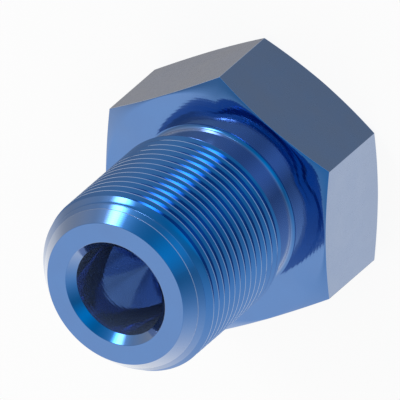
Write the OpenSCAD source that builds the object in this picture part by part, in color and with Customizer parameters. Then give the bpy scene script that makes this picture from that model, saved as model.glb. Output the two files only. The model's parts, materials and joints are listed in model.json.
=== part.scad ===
// Hexagon-headed boss plug with a straight fine thread and a blind bore in its nose.
// One piece, turned and milled from hexagon bar. It stands on the end of its head:
// +Z points to the nose, the axis is Z, and one corner of the hexagon lies along +X.
// The fine thread itself is left off: its land is the plain cylinder at the major diameter.

/* [Head] */
// Width across the flats of the hexagon
across_flats = 36; // [32:0.5:50]
// Length of the head, from its end face to the seal face
head_l = 15; // [8:0.5:30]
// Angle of the chamfer on the six corners, measured from the end faces
corner_chamfer_angle = 20; // [10:1:35]
// Radial step from the flats in to the round edge of each end face
face_step = 0.15; // [0.05:0.05:0.6]

/* [Threaded shank] */
// Major diameter of the thread
thread_d = 28; // [27:0.25:31]
// Length of the shank, from the seal face to the end of the nose
shank_l = 28.4; // [20:0.1:45]
// Angle of the thread's run-out cone at the neck, measured from the axis
runout_angle = 45; // [30:1:60]

/* [Neck for the sealing ring] */
// Diameter of the neck
neck_d = 25.1; // [23:0.1:26.5]
// Length of the neck, from the seal face to the start of the run-out cone
neck_l = 4.1; // [2:0.1:8]
// Radius of the fillet between the neck and the seal face
neck_fillet_r = 0.7; // [0.2:0.1:1.5]

/* [Nose] */
// Diameter of the flat end of the nose
nose_d = 22.3; // [18:0.1:24]
// Length of the nose chamfer along the axis
nose_chamfer_l = 3.5; // [1.5:0.1:6]
// Width of the fine tool line turned round the nose chamfer at the neck's diameter
line_w = 0.2; // [0.1:0.05:0.5]
// Depth of that tool line
line_depth = 0.06; // [0.02:0.02:0.16]

/* [Bore] */
// Diameter of the blind bore
bore_d = 14; // [6:0.25:15]
// Depth of the bore's straight wall, from the end of the nose
bore_depth = 22; // [6:0.5:28]
// Included angle of the drill point at the bottom of the bore
point_angle = 118; // [90:1:140]
// Diameter of the countersink at the mouth
countersink_d = 16.3; // [15.5:0.1:17.5]
// Included angle of the countersink
countersink_angle = 90; // [60:5:120]

/* [Hidden] */
$fn = 96;

flat_r = across_flats / 2;
corner_r = flat_r / cos(30);
face_r = flat_r - face_step;
thread_r = thread_d / 2;
neck_r = neck_d / 2;
nose_r = nose_d / 2;
bore_r = bore_d / 2;
countersink_r = countersink_d / 2;

// Heights along the axis, from the end face of the head
seal_z = head_l;
nose_z = seal_z + shank_l;
runout_z = seal_z + neck_l;
thread_start_z = runout_z + (thread_r - neck_r) / tan(runout_angle);
thread_end_z = nose_z - nose_chamfer_l;
bore_floor_z = nose_z - bore_depth;
point_h = bore_r / tan(point_angle / 2);
countersink_h = (countersink_r - bore_r) / tan(countersink_angle / 2);

// Angle of the nose chamfer from the axis
nose_angle = atan2(thread_r - nose_r, nose_chamfer_l);

// Overlap between forms that are fused, and the reach of a cut past a face
lap = 0.5;

// A point of the half profile, at a place along the nose chamfer measured from where
// it has the neck's radius, and at a depth under its surface
function on_chamfer(along, depth) = [
    neck_r - along * sin(nose_angle) - depth * cos(nose_angle),
    nose_z - (neck_r - nose_r) / tan(nose_angle)
        + along * cos(nose_angle) - depth * sin(nose_angle)
];

// Half profile of the round turning that takes the corners off the hexagon at both ends
module head_turning() {
    rim_r = corner_r + lap;
    rim_drop = (rim_r - face_r) * tan(corner_chamfer_angle);
    polygon([
        [0, 0], [face_r, 0], [rim_r, rim_drop],
        [rim_r, head_l - rim_drop], [face_r, head_l], [0, head_l]
    ]);
}

module hex_head() {
    intersection() {
        cylinder(r = corner_r, h = head_l, $fn = 6);
        rotate_extrude() head_turning();
    }
}

// Half profile of the shank: neck, run-out cone, thread land, and the nose chamfer
// with its tool line, which is a shallow V
module shank_profile() {
    polygon([
        [0, seal_z - lap], [neck_r, seal_z - lap], [neck_r, runout_z],
        [thread_r, thread_start_z], [thread_r, thread_end_z],
        on_chamfer(-line_w / 2, 0), on_chamfer(0, line_depth), on_chamfer(line_w / 2, 0),
        [nose_r, nose_z], [0, nose_z]
    ]);
}

// Half profile of the fillet in the corner between the neck and the seal face
module neck_fillet_profile() {
    difference() {
        translate([neck_r - lap, seal_z - lap])
            square(neck_fillet_r + lap);
        translate([neck_r + neck_fillet_r, seal_z + neck_fillet_r])
            circle(neck_fillet_r);
    }
}

module shank() {
    rotate_extrude() shank_profile();
    rotate_extrude() neck_fillet_profile();
}

// What the drill and the countersink take out of the nose
module bore_cut() {
    translate([0, 0, bore_floor_z])
        cylinder(r = bore_r, h = bore_depth + lap);
    translate([0, 0, bore_floor_z - point_h])
        cylinder(r1 = 0, r2 = bore_r, h = point_h);
    translate([0, 0, nose_z - countersink_h])
        cylinder(r1 = bore_r, r2 = 2 * countersink_r - bore_r, h = 2 * countersink_h);
}

module plug() {
    color("#6f93c4")
        difference() {
            union() {
                hex_head();
                shank();
            }
            bore_cut();
        }
}

plug();
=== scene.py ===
import json
import math
from itertools import pairwise

import bmesh
import bpy
from mathutils import Matrix, Vector


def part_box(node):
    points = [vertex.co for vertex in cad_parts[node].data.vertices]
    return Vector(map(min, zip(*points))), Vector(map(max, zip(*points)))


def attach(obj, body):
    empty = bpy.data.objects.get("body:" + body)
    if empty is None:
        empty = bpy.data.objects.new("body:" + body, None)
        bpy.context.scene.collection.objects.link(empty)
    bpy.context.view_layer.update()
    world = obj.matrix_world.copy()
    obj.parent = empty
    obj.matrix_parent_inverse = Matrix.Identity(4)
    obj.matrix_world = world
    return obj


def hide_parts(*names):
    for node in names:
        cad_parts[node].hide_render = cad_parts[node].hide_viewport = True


bl_info = {
    "name": "Boss Plug",
    "version": (1, 0, 0),
    "blender": (4, 5, 0),
    "location": "View3D > Sidebar > Boss Plug",
    "description": "Builds a boss plug in blue anodised aluminium, and a plain studio round it",
    "category": "Object",
}

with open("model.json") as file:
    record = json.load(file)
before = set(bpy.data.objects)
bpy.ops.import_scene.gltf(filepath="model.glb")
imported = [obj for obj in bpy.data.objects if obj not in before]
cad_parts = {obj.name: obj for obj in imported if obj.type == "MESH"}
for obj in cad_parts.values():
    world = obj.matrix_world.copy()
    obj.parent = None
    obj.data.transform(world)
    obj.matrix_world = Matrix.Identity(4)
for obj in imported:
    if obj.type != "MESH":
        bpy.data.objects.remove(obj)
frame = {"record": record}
NODE = "plug"
BODY = "root"
MM = 0.001
CAD_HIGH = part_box(NODE)[1]
MOUNTS = {m["name"]: m for m in frame["record"]["mounts"]}

# The photograph is 400 pixels square and its view is parallel, at 7.05 pixels for each millimetre
PHOTO_PIXELS = 400
PIXEL = 0.1418 * MM
# What the photograph's right and towards-the-viewer directions are in the plug's own frame
VIEW_RIGHT = Vector((0.0, -math.cos(math.radians(30)), -0.5))
VIEW_BACK = Vector((0.5, -0.5 * math.cos(math.radians(30)), 0.75)).normalized()
# The middle of the nose's end face, in the photograph's pixels from its top left corner
NOSE_PIXEL = (115.3, 294.0)


def linear(hex_colour):
    """An sRGB hex colour as the linear colour that a shader takes."""
    channels = [int(hex_colour[i:i + 2], 16) / 255 for i in (1, 3, 5)]
    return tuple(c / 12.92 if c <= 0.04045 else ((c + 0.055) / 1.055) ** 2.4 for c in channels) + (1.0,)


def length(name, text, metres):
    return bpy.props.FloatProperty(name=name, description=text, default=metres, unit="LENGTH", precision=5)


def angle(name, text, degrees):
    return bpy.props.FloatProperty(
        name=name, description=text, default=math.radians(degrees), subtype="ANGLE")


def colour(name, text, hex_colour):
    return bpy.props.FloatVectorProperty(
        name=name, description=text, default=linear(hex_colour), size=4, subtype="COLOR", min=0, max=1)


class PlugSizes(bpy.types.PropertyGroup):
    """Sizes of the turned and milled body. Those that the frame holds come from it"""
    head_l: length("Head length", "From the head's end face to the seal face",
                   MOUNTS["seal_face"]["pos_m"][2])
    flat_r: length("Half across flats", "From the axis to a flat of the hexagon", CAD_HIGH.y)
    face_step: length("Face step", "Radial step from the flats in to the round end faces", 0.15 * MM)
    corner_chamfer: angle("Corner chamfer", "Slope of the chamfer on the hexagon's corners", 20)
    edge_break: length("Edge break", "Radius that tumbling leaves on the milled and turned edges", 0.1 * MM)
    neck_r: length("Neck radius", "Radius of the neck that takes the sealing ring", 12.55 * MM)
    neck_l: length("Neck length", "From the seal face to the run-out cone", 4.1 * MM)
    neck_fillet_r: length("Neck fillet", "Fillet between the neck and the seal face", 0.7 * MM)
    nose_r: length("Nose radius", "Radius of the nose's flat end", 11.15 * MM)
    nose_chamfer_l: length("Nose chamfer", "Length of the nose chamfer along the axis", 3.5 * MM)
    step_h: length("Nose step", "Height of the fine step that the tool leaves round the nose chamfer",
                   0.14 * MM)
    bore_r: length("Bore radius", "Radius of the blind bore",
                   MOUNTS["bore"]["dims"]["r_mm"] * MM)
    bore_depth: length("Bore depth", "Depth of the bore's straight wall", 22 * MM)
    countersink_r: length("Countersink radius", "Radius of the countersink at the mouth", 8.15 * MM)
    point_angle: angle("Drill point", "Included angle of the drill point in the bore", 118)


class PlugThread(bpy.types.PropertyGroup):
    """Sizes of the right-handed thread"""
    major_r: length("Major radius", "Radius over the crests",
                    MOUNTS["thread_land"]["dims"]["r_mm"] * MM)
    pitch: length("Pitch", "Distance from one crest to the next along the axis", 1.5 * MM)
    crest_w: length("Crest width", "Width of the flat left on each crest", 0.14 * MM)
    root_r: length("Root rounding", "Radius of the tool's tip at the bottom of the groove", 0.14 * MM)
    start_z: length("Start height", "Height of a groove's middle where it passes over +X", 30.33 * MM)


class PlugColours(bpy.types.PropertyGroup):
    """Colours of the plug's finish and of the studio"""
    dye: colour("Blue dye", "What the dyed oxide sends back, seen square on", "#0067B1")
    deep: colour("Deep dye", "The blue where the oxide took more dye", "#0063AC")
    glaze: colour("Glaze", "What the clear oxide surface sends back, seen at a slant", "#FFFFFF")
    # Painted light: the bore's two blues are its dye made paler, to stand in for light lost in its mirrorings
    bore_dye_and_painted_light: colour("Bore dye", "The paler blue inside the bore, seen square on", "#86A6D4")
    bore_deep_dye_and_painted_light: colour("Deep bore dye", "The bore's blue where the oxide took more dye", "#809ECC")
    floor: colour("Floor", "The studio floor", "#F4F4F4")


def new_node(tree, kind, settings=None, **inputs):
    """Adds a node to a tree with its settings, and links or sets its inputs. An input goes by its name, with
    _ for a space, or by its place, such as i0."""
    node = tree.nodes.new(kind)
    for key, value in (settings or {}).items():
        setattr(node, key, value)
    for key, value in inputs.items():
        by_place = key[0] == "i" and key[1:].isdigit()
        socket = node.inputs[int(key[1:]) if by_place else key.replace("_", " ")]
        if isinstance(value, bpy.types.NodeSocket):
            tree.links.new(value, socket)
        else:
            socket.default_value = value
    return node


def new_material(name):
    """A material by that name, and its empty node tree."""
    material = bpy.data.materials.new(name)
    material.use_nodes = True
    material.node_tree.nodes.clear()
    return material, material.node_tree


# A real feed of 0.1 to 0.2 mm is too fine to show in the render, so its marks are drawn this much coarser
COARSER = 3
# How deep the drawn marks are
MARK_DEPTH = 0.0005 * MM
# The sizes of the patches in which the dye goes deeper and in which the surface is a little rougher
DYE_PATCH = 5 * MM
ROUGH_PATCH = 1.5 * MM


def tool_marks(tree, travel, feed):
    """The even marks of a cutting tool, as a bump that repeats with each feed along the tool's travel."""
    turn = new_node(tree, "ShaderNodeMath", {"operation": "MULTIPLY"},
                    i0=travel, i1=2 * math.pi / (feed * COARSER))
    wave = new_node(tree, "ShaderNodeMath", {"operation": "SINE"}, i0=turn.outputs[0])
    return new_node(tree, "ShaderNodeBump", Height=wave.outputs[0], Distance=MARK_DEPTH).outputs[0]


def uneven(tree, place, spacing, low, high):
    """A value that wanders between low and high, in patches of about the spacing."""
    noise = new_node(tree, "ShaderNodeTexNoise", Vector=place, Scale=1 / spacing, Detail=3.0)
    level = new_node(tree, "ShaderNodeMapRange", i0=noise.outputs[0], i1=0.3, i2=0.7, i3=low, i4=high)
    return level.outputs[0]


def dyed_oxide(name, dyes_and_painted_light, glaze, gloss, power, metallic, roughness, feed):
    """A material of dyed oxide over aluminium. Seen square on it mirrors in the dye's colour, which is deeper
    in patches of a few millimetres. Its clear surface adds a pale shine towards the slant: gloss is how much
    and power how late, both matched to the photograph and stronger than a clear film alone would give. What
    isn't metallic is matt, and the tool's feed marks run round it."""
    material, tree = new_material(name)
    place = new_node(tree, "ShaderNodeTexCoord").outputs["Object"]
    flat = new_node(tree, "ShaderNodeVectorMath", {"operation": "MULTIPLY"}, i0=place, i1=(1, 1, 0))
    radius = new_node(tree, "ShaderNodeVectorMath", {"operation": "LENGTH"}, i0=flat.outputs[0])
    height = new_node(tree, "ShaderNodeSeparateXYZ", i0=place).outputs[2]
    travel = new_node(tree, "ShaderNodeMath", {"operation": "SUBTRACT"},
                      i0=radius.outputs["Value"], i1=height)
    facing = new_node(tree, "ShaderNodeLayerWeight", Blend=0.5).outputs["Facing"]
    curve = new_node(tree, "ShaderNodeMath", {"operation": "POWER"}, i0=facing, i1=power).outputs[0]
    share = new_node(tree, "ShaderNodeMath", {"operation": "MULTIPLY"}, i0=curve, i1=gloss).outputs[0]
    depth = uneven(tree, place, DYE_PATCH, 0.0, 1.0)
    # For the bore these blues carry painted light as well: they are paler than its real dye
    dye = new_node(tree, "ShaderNodeMix", {"data_type": "RGBA"},
                   i0=depth, i6=tuple(dyes_and_painted_light[0]), i7=tuple(dyes_and_painted_light[1])).outputs[2]
    tint = new_node(tree, "ShaderNodeMix", {"data_type": "RGBA"}, i0=share, i6=dye, i7=tuple(glaze))
    skin = new_node(tree, "ShaderNodeBsdfPrincipled", Base_Color=tint.outputs[2], Metallic=metallic,
                    Roughness=uneven(tree, place, ROUGH_PATCH, roughness * 0.85, roughness * 1.15),
                    Normal=tool_marks(tree, travel.outputs[0], feed))
    new_node(tree, "ShaderNodeOutputMaterial", Surface=skin.outputs[0])
    return material


def anodised_turned(colours):
    """Blue anodised aluminium, turned to a bright finish: clear mirror tones in deep blue."""
    return dyed_oxide("anodised_aluminium_turned", (colours.dye, colours.deep), colours.glaze,
                      gloss=0.77, power=1.3, metallic=1.0, roughness=0.09, feed=0.15 * MM)


def anodised_threaded(colours):
    """Blue anodised aluminium, thread cut: in the photograph its flanks shine less than the turned faces."""
    return dyed_oxide("anodised_aluminium_threaded", (colours.dye, colours.deep), colours.glaze,
                      gloss=0.42, power=1.0, metallic=1.0, roughness=0.09, feed=0.1 * MM)


def anodised_drilled(colours):
    """Blue anodised aluminium, drilled: its blue is the dye made paler by painted light, and part of it is
    matt.
    That makes up for the light which the renderer loses in the wall's many mirrorings, and brings its bands
    nearer to the photograph's."""
    return dyed_oxide("anodised_aluminium_drilled", (colours.bore_dye_and_painted_light, colours.bore_deep_dye_and_painted_light), colours.glaze,
                      gloss=0.2, power=1.3, metallic=0.84, roughness=0.06, feed=0.2 * MM)


# The milled flats' painted light and shade, from a square view to a grazing one, as (share of the way,
# colour).
# The three inner stops stand where the photograph's own view meets the three flats that it shows, and each
# colour was tuned until its flat had the tone there. So each flat's lit or shaded tone is painted for that
# one view, and not given by the light
MILLED_PAINTED_LIGHT_AND_SHADE = [(0.0, "#3A4F70"), (0.35, "#50617C"), (0.566, "#A7B6D1"), (0.784, "#898C98"), (1.0, "#808080")]
# The flats' patches of bluer tone, and how blue they get
TONE_PATCH = 4 * MM
TONE_SHARE = 0.06
# The finer patches in the flats' roughness, its range, and how much they send back where the view grazes them
GRAIN_PATCH = 1 * MM
MILLED_ROUGHNESS = (0.22, 0.28)
GRAZED = (0.6, 0.6, 0.6, 1.0)
MILLED_FEED = 0.2 * MM


def anodised_milled(colours):
    """Blue anodised aluminium, milled: fine cutter marks leave a dull, soft mirror in slate blue. Its tone
    turns with the view as painted light and shade, which makes each flat lighter or darker; that turn is
    matched to the photograph, and isn't known of the real finish."""
    material, tree = new_material("anodised_aluminium_milled")
    place = new_node(tree, "ShaderNodeTexCoord").outputs["Object"]
    height = new_node(tree, "ShaderNodeSeparateXYZ", i0=place).outputs[2]
    facing = new_node(tree, "ShaderNodeLayerWeight", Blend=0.5).outputs["Facing"]
    # Painted light and shade: the ramp makes each flat lighter or darker by its angle to the view
    ramp = new_node(tree, "ShaderNodeValToRGB", i0=facing)
    stops = ramp.color_ramp.elements
    while len(stops) < len(MILLED_PAINTED_LIGHT_AND_SHADE):
        stops.new(0.5)
    for stop, (share, painted_shading_tone) in zip(stops, MILLED_PAINTED_LIGHT_AND_SHADE):
        stop.position = share
        stop.color = linear(painted_shading_tone)
    bluer_patches = uneven(tree, place, TONE_PATCH, 0.0, TONE_SHARE)
    painted_shading_tone = new_node(tree, "ShaderNodeMix", {"data_type": "RGBA"}, i0=bluer_patches, i6=ramp.outputs[0],
                    i7=tuple(colours.dye))
    skin = new_node(tree, "ShaderNodeBsdfPrincipled", Base_Color=painted_shading_tone.outputs[2], Metallic=1.0,
                    Roughness=uneven(tree, place, GRAIN_PATCH, *MILLED_ROUGHNESS), Specular_Tint=GRAZED,
                    Normal=tool_marks(tree, height, MILLED_FEED))
    new_node(tree, "ShaderNodeOutputMaterial", Surface=skin.outputs[0])
    return material


def rounded_corner(before, corner, after, radius, steps):
    """Points of the arc that rounds a corner of a half profile."""
    a = (before - corner).normalized()
    b = (after - corner).normalized()
    half = a.angle(b) / 2
    centre = corner + (a + b).normalized() * radius / math.sin(half)
    start = corner + a * radius / math.tan(half) - centre
    end = corner + b * radius / math.tan(half) - centre
    turn = start.angle_signed(end)
    return [centre + Matrix.Rotation(-turn * i / steps, 2) @ start for i in range(steps + 1)]


def profile(corners, steps=3):
    """A half profile of points from corners given as (radius, height, rounding)."""
    points = [Vector(c[:2]) for c in corners]
    out = []
    for i, (_, _, rounding) in enumerate(corners):
        if rounding and 0 < i < len(corners) - 1:
            out += rounded_corner(points[i - 1], points[i], points[i + 1], rounding, steps)
        else:
            out.append(points[i])
    return out


# The hexagon's angle from one corner to the next, and half of it
SIDE = math.pi / 3
HALF_SIDE = math.pi / 6


def hexagon_edge(s):
    """Where an edge's rounding has its middle, as a distance from the axis, and the angle it reaches over."""
    centre = (s.flat_r - s.edge_break) / math.cos(HALF_SIDE)
    return centre, math.atan2(s.edge_break / 2, centre + s.edge_break * math.cos(HALF_SIDE))


def hexagon_radius(turn, s):
    """Distance from the axis to the hexagon's side at an angle from +X, with its six edges rounded."""
    off = abs((turn + HALF_SIDE) % SIDE - HALF_SIDE)
    centre, reach = hexagon_edge(s)
    if off < reach:
        return centre * math.cos(off) + math.sqrt(s.edge_break ** 2 - (centre * math.sin(off)) ** 2)
    return s.flat_r / math.cos(HALF_SIDE - off)


def turns(s, per_side=40, per_edge=3):
    """The angles of the mesh's columns: even all round, and closer over the hexagon's rounded edges."""
    _, reach = hexagon_edge(s)
    step = SIDE / per_side
    offs = [reach * i / per_edge for i in range(-per_edge, per_edge + 1)]
    offs += [step * i for i in range(1, per_side)]
    found = sorted(side * SIDE + off for side in range(6) for off in offs)
    return found + [found[0] + 2 * math.pi]


def head_column(turn, s):
    """Half profile of the head at one angle, from the middle of its end face to the neck's fillet."""
    side = hexagon_radius(turn, s)
    face = s.flat_r - s.face_step
    drop = (side - face) * math.tan(s.corner_chamfer)
    e = s.edge_break
    return profile([
        (0, 0, 0), (face, 0, 0), (side, drop, min(e, drop)), (side, s.head_l - drop, min(e, drop)),
        (face, s.head_l, 0), (s.neck_r + s.neck_fillet_r, s.head_l, 0),
    ])


def fillet_column(s, steps=8):
    """Half profile of the fillet between the seal face and the neck, from its foot up."""
    centre = Vector((s.neck_r + s.neck_fillet_r, s.head_l + s.neck_fillet_r))
    return [centre + s.neck_fillet_r * Vector((-math.sin(a), -math.cos(a)))
            for a in (math.pi / 2 * i / steps for i in range(1, steps + 1))]


class ThreadForm:
    """The land's outline between the neck and the nose, and the V groove that is cut round it."""

    def __init__(self, s, t):
        self.s, self.t = s, t
        self.foot_z = s.head_l + s.neck_l
        self.run_out_z = self.foot_z + t.major_r - s.neck_r
        self.top_z = CAD_HIGH.z
        # The tool leaves a fine step where the chamfer has the neck's radius, and the thread runs in below it
        self.slope = (t.major_r - s.nose_r) / s.nose_chamfer_l
        self.step_z = self.top_z - (s.neck_r - s.nose_r) / self.slope
        self.end_z = self.step_z - s.step_h
        self.chamfer_z = self.top_z - s.nose_chamfer_l - s.step_h
        # The outline is the lowest of these three lines, each as (radius at height 0, slope)
        self.lines = [
            (s.neck_r - self.foot_z, 1.0),
            (t.major_r, 0.0),
            (t.major_r + self.slope * self.chamfer_z, -self.slope),
        ]
        self.groove = self.groove_points()

    def radius(self, z):
        return min(r + slope * z for r, slope in self.lines)

    def groove_points(self, steps=4, over=0.2 * MM):
        """The groove's profile about its middle: flank, rounded root, flank, up to a bit over the crests."""
        t = self.t
        half_w = (t.pitch - t.crest_w) / 2
        flank = math.tan(math.radians(60))
        apex = t.major_r - half_w * flank
        centre = apex + 2 * t.root_r
        root = [(t.root_r * math.sin(a), centre - t.root_r * math.cos(a))
                for a in (math.radians(120 * i / steps - 60) for i in range(steps + 1))]
        edge = (half_w + over, t.major_r + over * flank)
        return [Vector((-edge[0], edge[1])), *map(Vector, root), Vector(edge)]

    def cut(self, middle):
        """The groove's points at one angle, as (height, radius), held within the land's outline."""
        points = [Vector((middle + p.x, p.y)) for p in self.groove]
        within = [i for i, p in enumerate(points) if p.y < self.radius(p.x)]
        if not within:
            z = min(max(middle, self.foot_z), self.end_z)
            return [Vector((z, self.radius(z)))] * len(points)
        first, last = within[0], within[-1]
        low = self.meet(points[first], points[first - 1])
        high = self.meet(points[last], points[last + 1])
        return [low if i < first else high if i > last else p for i, p in enumerate(points)]

    def meet(self, inner, outer):
        """Where the way from a point within the outline to one outside it crosses the outline."""
        shares = []
        for r, slope in self.lines:
            gap_inner = r + slope * inner.x - inner.y
            gap_outer = r + slope * outer.x - outer.y
            if gap_outer < 0:
                shares.append(gap_inner / (gap_inner - gap_outer))
        return inner.lerp(outer, min(shares))

    def column(self, turn):
        """Half profile of the neck's top, the run-out, the thread and the chamfer up to its fine step."""
        t = self.t
        lowest = math.floor((self.foot_z - t.start_z) / t.pitch) - 2
        highest = math.ceil((self.end_z - t.start_z) / t.pitch) + 1
        grooves = [self.cut(t.start_z + t.pitch * (k + turn / (2 * math.pi)))
                   for k in range(lowest, highest + 1)]
        start = Vector((self.foot_z, self.s.neck_r))
        end = Vector((self.end_z, self.radius(self.end_z)))
        out = [start]
        middle_z = (self.foot_z + self.end_z) / 2
        for groove, following in pairwise([[start], *grooves, [end]]):
            low, high = groove[-1].x, following[0].x
            bend = self.run_out_z if low < middle_z else self.chamfer_z
            z = min(max(bend, low), high)
            out.append(Vector((z, self.radius(z))))
            out += following
        return [Vector((p.y, p.x)) for p in out]


def nose_column(s, form):
    """Half profile from the fine step over the nose and down the bore to the drill point."""
    top = form.top_z
    mouth = s.countersink_r - s.bore_r
    floor_z = top - s.bore_depth
    e = s.edge_break
    return profile([
        (s.neck_r, form.end_z, 0), (s.neck_r, form.step_z, e / 2), (s.nose_r, top, e),
        (s.countersink_r, top, e),
        (s.bore_r, top - mouth, e), (s.bore_r, floor_z, e),
        (0, floor_z - s.bore_r / math.tan(s.point_angle / 2), 0),
    ])


# The body's material slots, the strip of a column that is the flat, and how many at its end are the bore
TURNED, MILLED, THREADED, DRILLED = range(4)
FLAT_STRIP = 5
BORE_STRIPS = 5
# Points nearer than this are one point, and edges shorter than this are closed up
WELD = 0.001 * MM
SLIVER = 0.0001 * MM


def build_mesh(s, t):
    """The whole body as a grid of columns round the axis, closed and welded."""
    form = ThreadForm(s, t)
    fillet, nose = fillet_column(s), nose_column(s, form)
    mesh = bmesh.new()
    columns = []
    for turn in turns(s):
        head, thread = head_column(turn, s), form.column(turn)
        points = head + fillet + thread + nose
        columns.append([mesh.verts.new((p.x * math.cos(turn), p.x * math.sin(turn), p.y)) for p in points])
    thread_start = len(head) + len(fillet)
    thread_end = thread_start + len(thread)
    for left, right in pairwise(columns):
        for i in range(len(left) - 1):
            face = mesh.faces.new((left[i], right[i], right[i + 1], left[i + 1]))
            if i == FLAT_STRIP:
                face.material_index = MILLED
            elif thread_start <= i < thread_end - 2:
                face.material_index = THREADED
            elif i >= len(left) - 1 - BORE_STRIPS:
                face.material_index = DRILLED
    bmesh.ops.remove_doubles(mesh, verts=mesh.verts, dist=WELD)
    bmesh.ops.dissolve_degenerate(mesh, dist=SLIVER, edges=mesh.edges)
    bmesh.ops.recalc_face_normals(mesh, faces=mesh.faces)
    return mesh


# Faces that meet at less than this angle are shaded as one smooth surface
SMOOTH_ANGLE = math.radians(33)


def corner_normals(mesh, smooth_angle):
    """The normal at each face's corners: that of the largest faces that meet there within the angle."""
    limit = math.cos(smooth_angle)
    mesh.faces.ensure_lookup_table()
    weighted = [face.normal * face.calc_area() ** 2 for face in mesh.faces]
    normals = []
    for face in mesh.faces:
        face.smooth = True
        for vert in face.verts:
            near = (weighted[f.index] for f in vert.link_faces if f.normal.dot(face.normal) > limit)
            normals.append(sum(near, Vector()).normalized())
    return normals


class PLUG_OT_body(bpy.types.Operator):
    """Build the turned and milled body with its thread"""
    bl_idname = "plug.body"
    bl_label = "Plug Body"

    def execute(self, context):
        scene = context.scene
        mesh = build_mesh(scene.plug_sizes, scene.plug_thread)
        mesh.faces.index_update()
        normals = corner_normals(mesh, SMOOTH_ANGLE)
        data = bpy.data.meshes.new("plug_body")
        mesh.to_mesh(data)
        mesh.free()
        data.normals_split_custom_set(normals)
        body = bpy.data.objects.new("plug_body", data)
        scene.collection.objects.link(body)
        for finish in (anodised_turned, anodised_milled, anodised_threaded, anodised_drilled):
            data.materials.append(finish(scene.plug_colours))
        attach(body, BODY)
        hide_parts(NODE)
        return {"FINISHED"}


class PLUG_OT_stage(bpy.types.Operator):
    """Set up the floor, the soft light and the camera"""
    bl_idname = "plug.stage"
    bl_label = "Studio"

    def execute(self, context):
        scene = context.scene
        scene.view_settings.view_transform = "Standard"
        make_floor(scene)
        make_world(scene)
        make_camera(scene)
        return {"FINISHED"}


# Where the card starts to fade and where it ends, from the middle of the picture's floor
CARD_FADE = 50 * MM
CARD_END = 100 * MM
# How much of its own white the card shows to the camera and to the metal: the rest keeps the shadow
CARD_GLOW = 0.9


def make_floor(scene):
    """A white card that fades out into the studio past the edge of the picture."""
    aim = view_aim()
    middle = aim - VIEW_BACK * (aim.z / VIEW_BACK.z)
    mesh = bmesh.new()
    bmesh.ops.create_circle(mesh, cap_ends=True, segments=96, radius=CARD_END)
    data = bpy.data.meshes.new("floor")
    mesh.to_mesh(data)
    mesh.free()
    floor = bpy.data.objects.new("floor", data)
    floor.location = middle
    scene.collection.objects.link(floor)
    data.materials.append(white_card(scene.plug_colours))


def white_card(colours):
    """Matt white card: it shows white with the object's soft shadow, and fades out towards its rim."""
    material, tree = new_material("matt_white_card")
    paper = new_node(tree, "ShaderNodeBsdfDiffuse", Color=tuple(colours.floor))
    glow = new_node(tree, "ShaderNodeEmission", Strength=1.0)
    path = new_node(tree, "ShaderNodeLightPath").outputs
    seen = new_node(tree, "ShaderNodeMath", {"operation": "ADD"},
                    i0=path["Is Camera Ray"], i1=path["Is Glossy Ray"])
    seen = new_node(tree, "ShaderNodeMath", {"operation": "ADD", "use_clamp": True},
                    i0=seen.outputs[0], i1=path["Is Transmission Ray"])
    share = new_node(tree, "ShaderNodeMath", {"operation": "MULTIPLY"}, i0=seen.outputs[0], i1=CARD_GLOW)
    card = new_node(tree, "ShaderNodeMixShader", i0=share.outputs[0], i1=paper.outputs[0], i2=glow.outputs[0])
    place = new_node(tree, "ShaderNodeTexCoord").outputs["Object"]
    reach = new_node(tree, "ShaderNodeVectorMath", {"operation": "LENGTH"}, i0=place).outputs["Value"]
    fade = new_node(tree, "ShaderNodeMapRange", {"interpolation_type": "SMOOTHSTEP"},
                    i0=reach, i1=CARD_FADE, i2=CARD_END)
    clear = new_node(tree, "ShaderNodeBsdfTransparent")
    sheet = new_node(tree, "ShaderNodeMixShader", i0=fade.outputs[0], i1=card.outputs[0], i2=clear.outputs[0])
    new_node(tree, "ShaderNodeOutputMaterial", Surface=sheet.outputs[0])
    return material


# How bright the studio's wall is towards each direction, as (degrees round from +X, brightness). The levels
# come from the reflections in the photograph's turned faces, and were then rounded and tuned against it
WALL = [
    (-180, 1.0), (-124, 1.05), (-88, 0.45), (-72, 0.55), (-47, 1.32), (-20, 0.45),
    (8, 0.85), (60, 0.68), (88, 0.38), (106, 0.8), (132, 1.15), (160, 1.05),
]
# The wall is darker near the floor, by this share, and from and to these sines of the height
WALL_FOOT = 0.62
FOOT_RISE = (-0.77, -0.2)
# The studio's ceiling is even: how bright it is, how much of it replaces the wall's tone up there, and from
# and to which sines of the height it does so
CEILING = 0.6
CEILING_SHARE = 0.7
CEILING_RISE = (0.74, 0.92)
# A softbox, its halo and a low softbox, as (degrees round, degrees up, half width, half height, brightness)
SOFTBOXES = [(31.8, 24, 12.5, 22, 10.0), (30, 20, 27, 26, 0.8), (5, -8, 18, 8, 14.0)]


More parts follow.
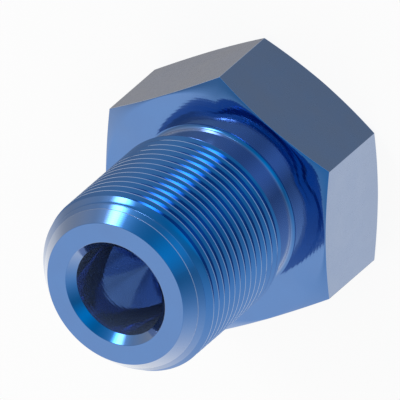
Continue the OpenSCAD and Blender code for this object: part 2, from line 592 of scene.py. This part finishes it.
def make_world(scene):
    """A round studio wall with soft changes of tone, under an even ceiling, and two softboxes."""
    world = bpy.data.worlds.new("studio_wall")
    world.use_nodes = True
    scene.world = world
    tree = world.node_tree
    tree.nodes.clear()
    way = new_node(tree, "ShaderNodeTexCoord").outputs["Generated"]
    split = new_node(tree, "ShaderNodeSeparateXYZ", i0=way).outputs
    turn = new_node(tree, "ShaderNodeMath", {"operation": "ARCTAN2"}, i0=split[1], i1=split[0])
    share = new_node(tree, "ShaderNodeMapRange", i0=turn.outputs[0], i1=-math.pi, i2=math.pi)
    ramp = new_node(tree, "ShaderNodeValToRGB", i0=share.outputs[0])
    ramp.color_ramp.interpolation = "B_SPLINE"
    top = max(level for _, level in WALL)
    stops = ramp.color_ramp.elements
    while len(stops) < len(WALL) + 1:
        stops.new(0.5)
    for stop, (degrees, level) in zip(stops, [*WALL, (180, WALL[0][1])]):
        stop.position = (degrees + 180) / 360
        stop.color = (level / top, level / top, level / top, 1)
    low = new_node(tree, "ShaderNodeMapRange", {"interpolation_type": "SMOOTHSTEP"},
                   i0=split[2], i1=FOOT_RISE[0], i2=FOOT_RISE[1], i3=WALL_FOOT * top, i4=top)
    wall = new_node(tree, "ShaderNodeMath", {"operation": "MULTIPLY"}, i0=ramp.outputs[0], i1=low.outputs[0])
    high = new_node(tree, "ShaderNodeMapRange", {"interpolation_type": "SMOOTHSTEP"},
                    i0=split[2], i1=CEILING_RISE[0], i2=CEILING_RISE[1], i3=0.0, i4=CEILING_SHARE)
    total = new_node(tree, "ShaderNodeMix", i0=high.outputs[0], i2=wall.outputs[0], i3=CEILING).outputs[0]
    for azimuth, elevation, width, height, level in SOFTBOXES:
        raised = Matrix.Rotation(math.radians(-elevation), 3, "Y")
        around = Matrix.Rotation(math.radians(azimuth), 3, "Z") @ raised
        local = new_node(tree, "ShaderNodeMapping", {"vector_type": "TEXTURE"}, Vector=way,
                         Location=around @ Vector((1, 0, 0)), Rotation=around.to_euler(),
                         Scale=(1.0, math.radians(width), math.radians(height)))
        off = new_node(tree, "ShaderNodeVectorMath", {"operation": "LENGTH"}, i0=local.outputs[0])
        lit = new_node(tree, "ShaderNodeMapRange", {"interpolation_type": "SMOOTHSTEP"},
                       i0=off.outputs["Value"], i3=level, i4=0.0)
        total = new_node(tree, "ShaderNodeMath", {"operation": "ADD"}, i0=total, i1=lit.outputs[0]).outputs[0]
    shine = new_node(tree, "ShaderNodeBackground", Color=(1, 1, 1, 1), Strength=total)
    new_node(tree, "ShaderNodeOutputWorld", Surface=shine.outputs[0])


# How far the camera stands back, which a parallel view leaves free
CAMERA_BACK = 300 * MM


def view_aim():
    """The point, seen as deep as the nose's end, that the middle of the picture looks at."""
    up = VIEW_BACK.cross(VIEW_RIGHT)
    middle = PHOTO_PIXELS / 2
    nose = Vector((0, 0, CAD_HIGH.z))
    return nose + (middle - NOSE_PIXEL[0]) * PIXEL * VIEW_RIGHT - (middle - NOSE_PIXEL[1]) * PIXEL * up


def make_camera(scene):
    """A parallel camera in the photograph's direction and at its scale."""
    data = bpy.data.cameras.new("camera")
    data.type = "ORTHO"
    data.ortho_scale = PHOTO_PIXELS * PIXEL
    camera = bpy.data.objects.new("camera", data)
    scene.collection.objects.link(camera)
    turn = Matrix((VIEW_RIGHT, VIEW_BACK.cross(VIEW_RIGHT), VIEW_BACK)).transposed().to_4x4()
    camera.matrix_world = Matrix.Translation(view_aim() + VIEW_BACK * CAMERA_BACK) @ turn
    scene.camera = camera


class PLUG_PT_panel(bpy.types.Panel):
    """Sizes, colours and steps of the boss plug"""
    bl_label = "Boss Plug"
    bl_space_type = "VIEW_3D"
    bl_region_type = "UI"
    bl_category = "Boss Plug"

    def draw(self, context):
        layout = self.layout
        for group in (context.scene.plug_sizes, context.scene.plug_thread, context.scene.plug_colours):
            box = layout.box()
            for name in group.bl_rna.properties.keys():
                if name not in ("rna_type", "name"):
                    box.prop(group, name)
        layout.operator(PLUG_OT_body.bl_idname)
        layout.operator(PLUG_OT_stage.bl_idname)


CLASSES = (PlugSizes, PlugThread, PlugColours, PLUG_OT_body, PLUG_OT_stage, PLUG_PT_panel)


def register():
    for item in CLASSES:
        bpy.utils.register_class(item)
    bpy.types.Scene.plug_sizes = bpy.props.PointerProperty(type=PlugSizes)
    bpy.types.Scene.plug_thread = bpy.props.PointerProperty(type=PlugThread)
    bpy.types.Scene.plug_colours = bpy.props.PointerProperty(type=PlugColours)


def unregister():
    del bpy.types.Scene.plug_colours
    del bpy.types.Scene.plug_thread
    del bpy.types.Scene.plug_sizes
    for item in reversed(CLASSES):
        bpy.utils.unregister_class(item)


def main():
    register()
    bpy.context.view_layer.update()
    bpy.ops.plug.body()
    bpy.ops.plug.stage()


if __name__ == "__main__":
    main()
